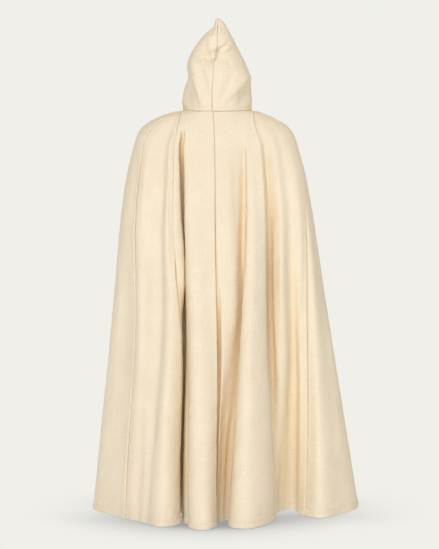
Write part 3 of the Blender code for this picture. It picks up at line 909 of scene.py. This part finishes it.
front_distance = np.minimum(*(np.abs(from_line(edge)) for edge in FRONT_EDGES))
turned_edge = np.maximum(in_band(hem_distance, HEM_BAND), in_band(front_distance, FRONT_BAND))
thickness = CLOTH * (1 + BODY_TURNING * turned_edge)
# Painted shade in the bottom of each seam groove, as strong as the seam shows.
seam_shade = np.zeros(across.shape)
for look in SEAM_LOOKS:
    seam_shade += bump(from_line(look.line) - SHADE_ASIDE, SHADE_WIDTH) * seam_strength(look)
panels = {}
cuts = {}
for panel in PANELS:
    columns = slice(column_of[panel.first], column_of[panel.last] + 1)
    outer = body_grid[:, columns].copy()
    is_front_start, is_front_end = panel.first not in SEAMS, panel.last not in SEAMS
    if not is_front_start:
        part_seam(outer, 0, 1)
    if not is_front_end:
        part_seam(outer, -1, -2)
    inner = inner_face(outer, body_normals[:, columns], thickness[:, columns])
    centre = across[:, columns].mean(axis=1, keepdims=True)
    uv = np.stack([across[:, columns] - centre, hem_distance[:, columns]], axis=-1)
    rounding = (0.0, EDGE_ROUND * is_front_end, EDGE_ROUND, EDGE_ROUND * is_front_start)
    piece = cloth_piece(panel.node + "_cloth", outer, inner, uv, rounding, seam_shade[:, columns])
    finish(piece, cloth_material, panel.node)
    keep_sheet(panel.node, piece, cut_size(smooth_body[:, columns], along))

# %% [markdown]
# ## The hood
#
# The hood hangs from the crown of the head, so its rings are given one by one, from the neck
# seam to the tip: where each crosses the centre back, the sides and the centre front, its half
# widths, and the angle at which the face opening cuts it off. The tip leans back over a slanting
# crease, and below it the cloth runs down to the nape in a V, with a hollow either side.

# %% Rings, hollows and creases of the hood
RINGS = table(
    "name back_y back_z side_y side_z front_y front_z left right end seam",
    ("neck", 98, -7, 0, 0, -84, -72, 120, 121, 178, 9),
    ("nape", 103, 30, 2, 32, -94, -34, 127, 123, 158, 9),
    ("chin", 107, 72, 4, 74, -114, 38, 121, 120, 141, 9),
    ("cheek", 107, 118, 2, 122, -134, 108, 104, 116, 133, 8.5),
    ("temple", 99, 152, -2, 154, -138, 160, 109, 106, 137, 8),
    ("brow", 88, 178, -8, 182, -130, 200, 105, 95, 151, 5),
    ("face top", 85, 198, -10, 206, -114, 227, 95, 82, 180, 3),
    ("crown", 94, 221, 2, 230, -84, 252, 80, 69, 180, 0),
    ("upper crown", 91, 252, 20, 258, -46, 279, 55, 54, 180, 0),
    ("peak", 80, 284, 34, 289, -6, 305, 24, 35, 180, 0),
    ("upper peak", 71, 303, 45, 306, 24, 314, 12, 25, 180, 0),
    ("tip", 65, 315, 52, 316.5, 40, 320, 6, 13, 180, 0),
    ("tip end", 58, 321.5, 53.5, 322.5, 49, 322.5, 1, 2.5, 180, 0),
)
HOLLOWS = table(
    "name x z wide tall depth reaches_round",
    ("left of the nape", 96, 52, 26, 40, 12, False),
    ("right of the nape", -92, 44, 30, 32, 12, False),
    ("under the leaning tip", 30, 184, 30, 17, 9, False),
    ("left side", 128, 50, 36, 38, 28, True),
    ("right side", -124, 44, 34, 32, 18, True),
)
HOOD_BEHIND = table(
    CREASE,
    (92, 190, 78, 104, 11, 4.0),
    (84, 120, 48, 4, 10, 8.5),
    (62, 160, 34, 30, 13, -6.5),
    (22, 194, 42, 150, 13, -4.5),
    (116, 98, 92, 6, 15, -4.0),
    (-118, 128, -54, 56, 12, 6.5),
    (-70, 72, -6, 6, 10, 5.5),
    (-62, 136, -2, 4, 12, -6.0),
    (-122, 90, -72, 6, 14, -5.0),
    (-44, 234, -16, 214, 4.5, -5.5),
    (-22, 218, 4, 197, 5, -8.0),
    (-4, 204, 12, 174, 6, -9.0),
    (34, 204, 4, 214, 8, 4.5),
    (76, 196, 26, 178, 8, -6.0),
    (-48, 220, -12, 194, 7, 4.0),
    (27, 186, 24, 156, 3.5, -3.5),
    (20, 184, 17, 160, 2.6, 2.2),
    (44, 240, 46, 196, 7, -3.0),
    (24, 262, 26, 214, 10, 3.0),
    (-40, 176, -46, 140, 9, -2.5),
    (11, 312, 25, 258, 6, -6.0),
    (2, 306, -3, 270, 3.5, -2.5),
    (-12, 300, -26, 262, 5, -2.0),
)
HOOD_IN_FRONT = table(
    CREASE,
    (70, 30, 40, -30, 9, -2.6),
    (-74, 34, -44, -26, 9, -2.6),
    (60, 236, 20, 268, 9, -2.4),
    (-56, 232, -16, 266, 9, -2.4),
)
NECK_GAP = 0.35


def hood_form(angle, row):
    """Hood: like a body section, with its sides and its front at heights of their own. Each
    hollow moves the back towards the face by depth times exp(-aside squared - above squared),
    and some reach round the sides."""
    numbered = [(i, *ring[1:]) for i, ring in enumerate(RINGS)]
    columns = smooth_rows(numbered, row).T[:8, :, None] * MM
    back_y, back_z, side_y, side_z, front_y, front_z, left, right = columns
    sine = np.sin(np.radians(angle))
    cosine = np.cos(np.radians(angle))
    x = np.where(sine > 0, left, right) * sine
    y = side_y + np.where(cosine > 0, back_y - side_y, side_y - front_y) * cosine
    z = side_z + (np.where(cosine > 0, back_z, front_z) - side_z) * cosine**2
    over_back, round_side = np.clip(cosine, 0, 1) ** 0.5, fade(cosine, -0.6, 0.2)
    for hollow in HOLLOWS:
        aside = (x - hollow.x * MM) / (hollow.wide * MM)
        above = (z - hollow.z * MM) / (hollow.tall * MM)
        near = round_side if hollow.reaches_round else over_back
        y = y - hollow.depth * MM * np.exp(-(aside**2) - above**2) * near
    return np.stack([x, y, z + NECK_GAP * MM], axis=-1)


# %% [markdown]
# Each half is a grid from the centre back to the face edge, or to the top seam above it. Its
# columns crowd towards both ends, for the seam and the turned edge, and its rows towards the
# neck, where the band that covers the neck seam is stitched on.

# %% The two halves of the hood
NECK_BAND = 9.0
NECK_LAP = 1.8
FACE_BAND = 16.0
FACE_ROUND = 0.0005
NECK_ROUND = 0.0003
HOOD_TURNING = 0.8
HOOD_RUMPLES = ((0.5, 46, 50), (0.25, 20, 51))
HOOD_COLUMNS = 110
HOOD_ROWS_PER_RING = 14


def hood_grid(side):
    """Angles, rows and points of one half; columns bunch at the ends as a cosine does."""
    rings = len(RINGS) - 1
    row = np.linspace(0, rings, rings * HOOD_ROWS_PER_RING + 1)
    row = np.unique(np.concatenate([row, np.arange(0, 0.6, 0.03)]))
    numbered = [(i, ring.end, ring.seam) for i, ring in enumerate(RINGS)]
    end, seam = smooth_rows(numbered, row).T[:, :, None]
    even = np.linspace(0, 1, HOOD_COLUMNS + 1)
    share = 0.45 * even + 0.55 * (1 - np.cos(np.pi * even)) / 2
    angle = seam + (side * end - seam) * share
    turn, climb = 0.3, 0.01
    sideways = hood_form(angle + turn, row) - hood_form(angle - turn, row)
    above, below = np.minimum(row + climb, rings), np.maximum(row - climb, 0)
    upward = hood_form(angle, above) - hood_form(angle, below)
    normals = unit(np.cross(upward, sideways))
    normals[-1] = (0, 0, 1)
    return row, end, seam, hood_form(angle, row), normals


hood_edges = {}
for node, side in (("hood_left", 1), ("hood_right", -1)):
    row, end, seam, grid, normals = hood_grid(side)
    wide = run_across(grid)
    tall = run_across(grid.transpose(1, 0, 2)).T
    from_face = wide[:, -1:] - wide
    open_face = 1 - fade(end, 176, 180)
    small = fade(wide[:, -1:], 20, 90)
    relief = crease_height(grid, HOOD_BEHIND, HOOD_IN_FRONT) * small
    for rise, wave, seed in HOOD_RUMPLES:
        relief += rise * rumple(wide * side, tall, wave, seed) * small
    relief += seam_height(wide, tall, 52) * small
    relief += (1 - open_face) * seam_height(from_face, tall, 53) * small
    relief += open_face * band_height(from_face, tall, FACE_BAND, 54, rope=0.3) * (from_face < 50)
    relief += band_height(tall, wide * side, NECK_BAND, 55, rope=0.3) * (tall < 40) * fade(from_face, 8, 30)
    outer = grid + normals * relief[..., None] * MM
    outer[..., 2] -= NECK_LAP * bump(tall, 3.5) * MM
    inner_normals = outward(outer[::-1, ::-side])[::-1, ::-side]
    inner_normals = np.where(small[..., None] > 0.5, inner_normals, normals)
    turned_edge = np.maximum(open_face * in_band(from_face, FACE_BAND), in_band(tall, NECK_BAND))
    inner = inner_face(outer, inner_normals, CLOTH * (1 + HOOD_TURNING * turned_edge * small))
    own_side = np.maximum(inner[..., 0] * side, SEAM_CLEARANCE * MM) * side
    inner[..., 0] = np.where(seam == 0, own_side, inner[..., 0])
    part_seam(outer, 0, 1)
    # Painted shade in the groove of the hood's centre seam.
    shade = 0.5 * bump(wide, SHADE_WIDTH) * small
    down_first = (slice(None, None, -1), slice(None, None, -side))
    grids = [field[down_first] for field in (outer, inner, np.stack([wide, tall], axis=-1))]
    ends = (FACE_ROUND, 0.0) if side == -1 else (0.0, FACE_ROUND)
    rounding = (0.0, ends[0], NECK_ROUND, ends[1])
    piece = cloth_piece(node + "_cloth", *grids, rounding, shade[down_first])
    finish(piece, cloth_material, node)
    cells = np.cross(np.diff(grid, axis=1)[:-1], np.diff(grid, axis=0)[:, :-1])
    area = float(np.sum(np.linalg.norm(cells, axis=2)))
    keep_sheet(node, piece, (float(wide.max()) * MM, float(tall.max()) * MM, area))
    hood_edges[side] = (tall, from_face, outer, inner_normals, row)

# %% [markdown]
# ## Stitches
#
# A row of machine stitches is the same small thing again and again, so one stitch is an array of
# points, six-sided and pinched at both ends where it dives into the cloth, and the whole row is
# that array carried to every place on a path at once.

# %% Make rows of stitches
def tube_faces(rings, sides):
    """Faces of a tube: four-sided ones from ring to ring, then one at its start and its end."""
    first = np.arange(rings - 1)[:, None] * sides
    i = first + np.arange(sides)
    j = first + (np.arange(sides) + 1) % sides
    walls = np.stack([i, j, j + sides, i + sides], -1).reshape(-1, 4)
    return walls, np.arange(sides)[::-1], (rings - 1) * sides + np.arange(sides)


STITCH_SIDES = 6
STITCH_STATIONS = ((-0.5, 0.45, -0.7), (-0.3, 1.0, 0.1), (0.3, 1.0, 0.1), (0.5, 0.45, -0.7))


def along_path(points, normals, pitch):
    """Places, directions and normals every `pitch` mm along a line of points."""
    step = np.linalg.norm(np.diff(points, axis=0), axis=1)
    run = np.concatenate([[0], np.cumsum(step)]) / MM
    at = np.arange(pitch / 2, run[-1], pitch)

    def read(field, shift=0.0):
        return np.stack([np.interp(at + shift, run, field[:, k]) for k in range(3)], axis=-1)

    return read(points), unit(read(points, 0.5) - read(points, -0.5)), unit(read(normals))


def stitch_rows(name, paths, pitch, length, radius):
    """One mesh with every stitch of the paths: station i of a stitch is a ring round the path's
    direction, its radius and height above the cloth from the table of stations."""
    parts = [along_path(points, normals, pitch) for points, normals in paths]
    place, direction, normal = (np.concatenate([p[k] for p in parts]) for k in range(3))
    aside = np.cross(direction, normal)
    turn = np.arange(STITCH_SIDES) * 2 * np.pi / STITCH_SIDES
    offset, thick, lift = np.array(STITCH_STATIONS).T
    ring = np.cos(turn)[:, None] * aside[:, None] + np.sin(turn)[:, None] * normal[:, None]
    ring = ring[:, None]
    centre = (
        place[:, None]
        + direction[:, None] * (offset * length * MM)[None, :, None]
        + normal[:, None] * (lift * radius * MM)[None, :, None]
    )
    points = centre[:, :, None] + ring * (thick * radius * MM)[None, :, None, None]
    stations = len(STITCH_STATIONS)
    walls, start, end = tube_faces(stations, STITCH_SIDES)
    first = np.arange(len(place))[:, None] * stations * STITCH_SIDES
    faces = (walls + first[:, None]).reshape(-1, 4).tolist()
    faces += (start + first).tolist() + (end + first).tolist()
    piece = new_mesh(name, points.reshape(-1, 3), faces)
    finish(piece, thread_material)
    print(name, len(place), "stitches")
    return piece


def row_at(distance, grid, normals, value, columns):
    """The line where `distance`, which falls or rises down each column, equals value."""
    gap = np.abs(distance[:, columns] - value)
    nearest = gap.argmin(axis=0)
    picked = np.arange(distance.shape[1])[columns]
    return grid[nearest, picked], normals[nearest, picked]


def column_at(distance, grid, normals, value, rows):
    """The line where `distance` across each row equals value, between the two columns."""
    points, normals = (
        np.array([[np.interp(value, distance[r], field[r, :, k]) for k in range(3)] for r in rows])
        for field in (grid, normals)
    )
    return points, unit(normals)


BODY_STITCH = (3.6, 3.0, 0.3)
HOOD_STITCH = (3.4, 2.8, 0.3)
for panel in PANELS:
    columns = slice(column_of[panel.first] + 2, column_of[panel.last] - 1)
    path = row_at(hem_distance, body_grid, body_normals, HEM_BAND, columns)
    stitches = [stitch_rows(panel.node + "_hem_stitches", [path], *BODY_STITCH)]
    if panel.node.startswith("front"):
        side = 1 if panel.node == "front_left" else -1
        order = slice(None, None, side)
        edge = side * from_line(FRONT_EDGES[side < 0])
        fields = (field[:, order] for field in (edge, body_grid, body_normals))
        path = column_at(*fields, FRONT_BAND, np.arange(8, len(along) - 12))
        stitches.append(stitch_rows(panel.node + "_edge_stitches", [path], *BODY_STITCH))

for side, node in ((1, "hood_left"), (-1, "hood_right")):
    tall, from_face, outer, normals, row = hood_edges[side]
    rows = np.arange(6, int(np.searchsorted(row, 5.7)))
    paths = {
        "neck": row_at(tall, outer, normals, NECK_BAND, slice(2, -8)),
        "face": column_at(-from_face, outer, normals, -FACE_BAND, rows),
    }
    stitches = [
        stitch_rows("%s_%s_stitches" % (node, edge), [path], *HOOD_STITCH) for edge, path in paths.items()
    ]

# %% [markdown]
# ## Strap and button
#
# The photograph doesn't show the front. A cloak that is open down the front needs something to
# hold it at the throat, so a short strap of the same cloth lies across both edges, sewn down on
# the wearer's right and buttoned on the left with one plain turned button.

# %% The strap across the throat
STRAP_ALONG = (16, 40)
STRAP_HALF_ANGLE = 22
STRAP_LIFT = 0.9
STRAP_ROUND = 0.0004
STRAP_STITCH = (2.8, 2.3, 0.26)
STRAP_ROWS = 25
STRAP_COLUMNS = 91
strap_along = np.linspace(*STRAP_ALONG, STRAP_ROWS)
strap_angle = np.linspace(180 + STRAP_HALF_ANGLE, 180 - STRAP_HALF_ANGLE, STRAP_COLUMNS)
strap_form = body_form(np.broadcast_to(strap_angle, (STRAP_ROWS, STRAP_COLUMNS)), strap_along)
strap_normals = outward(strap_form)
strap_across = run_across(strap_form)
edge_distance = np.minimum(
    np.minimum(strap_across, strap_across[:, -1:] - strap_across),
    np.minimum(strap_along - STRAP_ALONG[0], STRAP_ALONG[1] - strap_along)[:, None],
)
strap_relief = STRAP_LIFT + CLOTH - 0.35 * bump(edge_distance - 3.2, 0.8) - 0.3 * bump(edge_distance, 1.0)
strap_relief = strap_relief + 0.1 * rumple(strap_across, strap_along[:, None], 14, 60)
strap_outer = strap_form + strap_normals * strap_relief[..., None] * MM
strap_inner = inner_face(strap_outer, strap_normals, np.full(strap_relief.shape, CLOTH))
strap_uv = np.stack(np.broadcast_arrays(strap_across, strap_along[:, None]), axis=-1)
strap = cloth_piece("neck_strap_cloth", strap_outer, strap_inner, strap_uv, (STRAP_ROUND,) * 4)
finish(strap, cloth_material, "neck_strap")


def strap_ring(inset, first, last):
    """A closed run of stitches `inset` rows inside the strap, between two columns."""
    low, high = inset, STRAP_ROWS - 1 - inset
    top = [(low, c) for c in range(first, last + 1)]
    right_end = [(r, last) for r in range(low, high + 1)]
    bottom = [(high, c) for c in range(last, first - 1, -1)]
    left_end = [(r, first) for r in range(high, low - 1, -1)]
    r, c = np.array(top + right_end[1:] + bottom[1:] + left_end[1:]).T
    return strap_outer[r, c], strap_normals[r, c]


strap_rings = [strap_ring(3, 3, last) for last in (STRAP_COLUMNS - 4, 20)]
strap_stitches = stitch_rows("neck_strap_stitches", strap_rings, *STRAP_STITCH)

# %% The button
BUTTON_ANGLE = 168
BUTTON_GAP = 0.3
SOLID_LIFT = 0.6
SOLID_WALL = 2.0
BUTTON_PROFILE = (
    (0.05, 0.0), (7.6, 0.0), (8.5, 0.35), (9.0, 1.2), (9.0, 2.4), (8.6, 3.2), (7.8, 3.5),
    (6.9, 3.3), (6.2, 2.7), (5.6, 2.4), (0.05, 2.3),
)
HOLE_OFFSET = 1.9
HOLE_RADIUS = 0.9
BAR_POINTS = 9
BAR_ASIDE = 0.25
BAR_TOP = 2.75
BAR_DIP = 0.7

button_along = np.mean(STRAP_ALONG) + np.array([-1, 0, 1])
button_form = body_form(np.broadcast_to(BUTTON_ANGLE + np.array([1, 0, -1]), (3, 3)), button_along)
button_normal = outward(button_form)[1, 1]
button_place = button_form[1, 1] + button_normal * (SOLID_LIFT + SOLID_WALL + BUTTON_GAP) * MM
button_matrix = Vector(button_normal).to_track_quat("Z", "Y").to_matrix().to_4x4()
button_matrix.translation = Vector(button_place)


def turned(name, profile, sides):
    """A profile of (radius, height) in mm turned about Z, closed at both poles."""
    radius, level = np.array(profile).T * MM
    turn = np.arange(sides) * 2 * np.pi / sides
    radius, level = radius[:, None], level[:, None] * np.ones(sides)
    points = np.stack([radius * np.cos(turn), radius * np.sin(turn), level], axis=-1)
    walls, start, end = tube_faces(len(profile), sides)
    return new_mesh(name, points.reshape(-1, 3), [*walls.tolist(), start.tolist(), end.tolist()])


button = turned("neck_button_wood", BUTTON_PROFILE, 64)
for number, (a, b) in enumerate(((1, 1), (-1, 1), (-1, -1), (1, -1))):
    drill = turned("drill_%d" % number, ((HOLE_RADIUS, -1), (HOLE_RADIUS, 5)), 20)
    drill.data.transform(drill.matrix_world.Translation((a * HOLE_OFFSET * MM, b * HOLE_OFFSET * MM, 0)))
    cut = button.modifiers.new("hole_%d" % number, "BOOLEAN")
    cut.operation = "DIFFERENCE"
    cut.object = drill
shape = bpy.data.meshes.new_from_object(button.evaluated_get(bpy.context.evaluated_depsgraph_get()))
button.modifiers.clear()
button.data = shape
for drill in [o for o in bpy.data.objects if o.name.startswith("drill_")]:
    bpy.data.objects.remove(drill, do_unlink=True)
button.data.transform(button_matrix)
button.data.set_sharp_from_angle(angle=0.6)
finish(button, wood_material, "neck_button")

bars = []
for a in (1, -1):
    for shift in (-BAR_ASIDE, BAR_ASIDE):
        span = np.linspace(-1, 1, BAR_POINTS)[:, None]
        aside = np.full((BAR_POINTS, 1), a * HOLE_OFFSET + shift)
        local = np.hstack([aside, span * (HOLE_OFFSET + 0.2), BAR_TOP - BAR_DIP * span**4])
        world = np.array([button_matrix @ Vector(p * MM) for p in local])
        bars.append((world, np.broadcast_to(button_normal, world.shape)))
stitch_rows("neck_button_thread", bars, 4.2, 4.4, 0.28)
print("button faces:", len(button.data.polygons))

# %% [markdown]
# ## Light, floor and camera
#
# The photograph has hardly any direction in its light: a white room, with a little more coming
# from the upper left front. So one wide sun shades the folds, and the room round it is warm, and
# dimmer on the left. Only behind the cloak is the world the backdrop's own pale grey. The floor
# glows in that same grey, so the two meet without a line, and a shadow is painted on it just
# behind the hem, where the cloth shuts the light out.

# %% Backdrop, floor and lamp
scene = bpy.context.scene
scene.view_settings.view_transform = "Standard"
BACKDROP = (0.871, 0.863, 0.823)
ROOM_COLOUR = (0.91, 0.85, 0.73)
ROOM_LEFT = 0.30
ROOM_RIGHT = 0.64
BACKDROP_CONE = (-0.93, -0.965)
PAINTED_SHADOW_REACH = 0.28
PAINTED_SHADOW_COLOUR = (0.34, 0.34, 0.33)
PAINTED_SHADOW_FROM = (0.0, 0.3)
PAINTED_SHADOW_IN_FRONT = 0.3
SUN_STRENGTH = 1.83
SUN_WIDTH = 0.8
SUN_COLOUR = (1.0, 0.99, 0.98)
SUN_FROM = (0.16, 0.85, 0.32)
FLOOR_GAP = 1.0
FLOOR_HALF = 30.0


def make_room():
    """World: the backdrop's own colour in a cone round -Y, and a dimmer, warmer room elsewhere."""
    world = bpy.data.worlds.new("pale_room")
    world.use_nodes = True
    tree = world.node_tree
    place = coordinate(tree, "Generated")
    behind = between(tree, axis_of(tree, place, "Y"), *BACKDROP_CONE)
    across_room = maths(tree, "ADD", maths(tree, "MULTIPLY", axis_of(tree, place, "X"), 0.5), 0.5)
    left, right = (tuple(value * share for value in ROOM_COLOUR) for share in (ROOM_LEFT, ROOM_RIGHT))
    room = colour_by(tree, across_room, ((0.1, right), (0.9, left)))
    seen = mix(tree, behind, room, (*BACKDROP, 1))
    tree.links.new(seen, tree.nodes["Background"].inputs["Color"])
    return world


def make_floor_material():
    """As bright as the backdrop, with a shadow painted behind the hem, where the cloth shuts the light out.
    """
    material, tree, shader = new_material("pale_floor", 1.0)
    # Painted shadow: the glow darkens where the cloth shuts the floor in, fully behind the hem and by a
    # share in front of it.
    floor_open_share = open_share(tree, PAINTED_SHADOW_REACH, 12)
    shade = colour_by(tree, floor_open_share, ((0.30, PAINTED_SHADOW_COLOUR), (0.97, BACKDROP)))
    behind = between(tree, axis_of(tree, coordinate(tree), "Y"), *PAINTED_SHADOW_FROM, low=PAINTED_SHADOW_IN_FRONT)
    tree.links.new(mix(tree, behind, (*BACKDROP, 1), shade), shader.inputs["Emission Color"])
    shader.inputs["Specular IOR Level"].default_value = 0.0
    shader.inputs["Base Color"].default_value = (0, 0, 0, 1)
    shader.inputs["Emission Strength"].default_value = 1.0
    return material


scene.world = make_room()
lamp = bpy.data.lights.new("softbox", "SUN")
lamp.energy, lamp.angle, lamp.color = SUN_STRENGTH, SUN_WIDTH, SUN_COLOUR
lamp_object = bpy.data.objects.new("softbox", lamp)
lamp_object.rotation_euler = Vector(SUN_FROM).to_track_quat("Z", "Y").to_euler()
scene.collection.objects.link(lamp_object)

corner_signs = np.array([(-1, -1), (1, -1), (1, 1), (-1, 1)])
floor_z = float(cad_box[0][2]) - FLOOR_GAP * MM
floor_points = np.column_stack([corner_signs * FLOOR_HALF, np.full(4, floor_z)])
floor = new_mesh("floor", floor_points, [(0, 1, 2, 3)])
floor.data.materials.append(make_floor_material())

# %% The camera
CAMERA_DISTANCE = 5.0
CAMERA_HEIGHT = -0.4714
CAMERA_ASIDE = -0.007
IMAGE_TALL = 549
PIXELS_PER_METRE = 280
HORIZON_ROW = 243
SENSOR = 36.0

camera = bpy.data.cameras.new("camera")
camera.sensor_width = SENSOR
camera.lens = SENSOR * PIXELS_PER_METRE * CAMERA_DISTANCE / IMAGE_TALL
camera.shift_y = (HORIZON_ROW - IMAGE_TALL / 2) / IMAGE_TALL
camera_object = bpy.data.objects.new("camera", camera)
camera_object.location = (CAMERA_ASIDE, CAMERA_DISTANCE, CAMERA_HEIGHT)
camera_object.rotation_euler = (np.pi / 2, 0, np.pi)
scene.collection.objects.link(camera_object)
scene.camera = camera_object
print("lens", round(camera.lens, 1), "mm")
